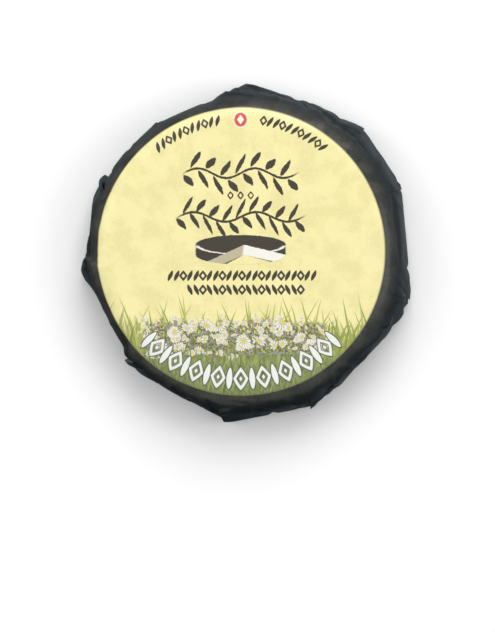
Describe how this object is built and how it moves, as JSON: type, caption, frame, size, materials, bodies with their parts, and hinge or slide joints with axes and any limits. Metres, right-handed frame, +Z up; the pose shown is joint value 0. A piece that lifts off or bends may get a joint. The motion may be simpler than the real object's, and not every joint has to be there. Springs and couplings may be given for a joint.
{
  "type": "cheese wheel",
  "caption": "Small flat cheese wheel wrapped in dark pleated paper with a large round pale print on top, closed by a round label underneath.",
  "frame": {"origin": "middle of the base label's underside, on the wheel's axis, on the surface that the wheel stands on", "axes": "+Z up along the wheel's axis through its printed top; +Y towards the top of the printed artwork; +X to its right"},
  "size_m": [0.1485, 0.152, 0.0312],
  "materials": {
    "cheese": "natural bloomy washed rind, matt and slightly uneven",
    "wrapper_paper": "waxed paper, satin, black ground with a pale yellow printed disc on top",
    "label_paper": "self-adhesive paper, semi-matt, cream"
  },
  "bodies": {
    "root": {"cheese": "cheese", "paper_wrapper": "wrapper_paper", "base_label": "label_paper"}
  },
  "joints": []
}
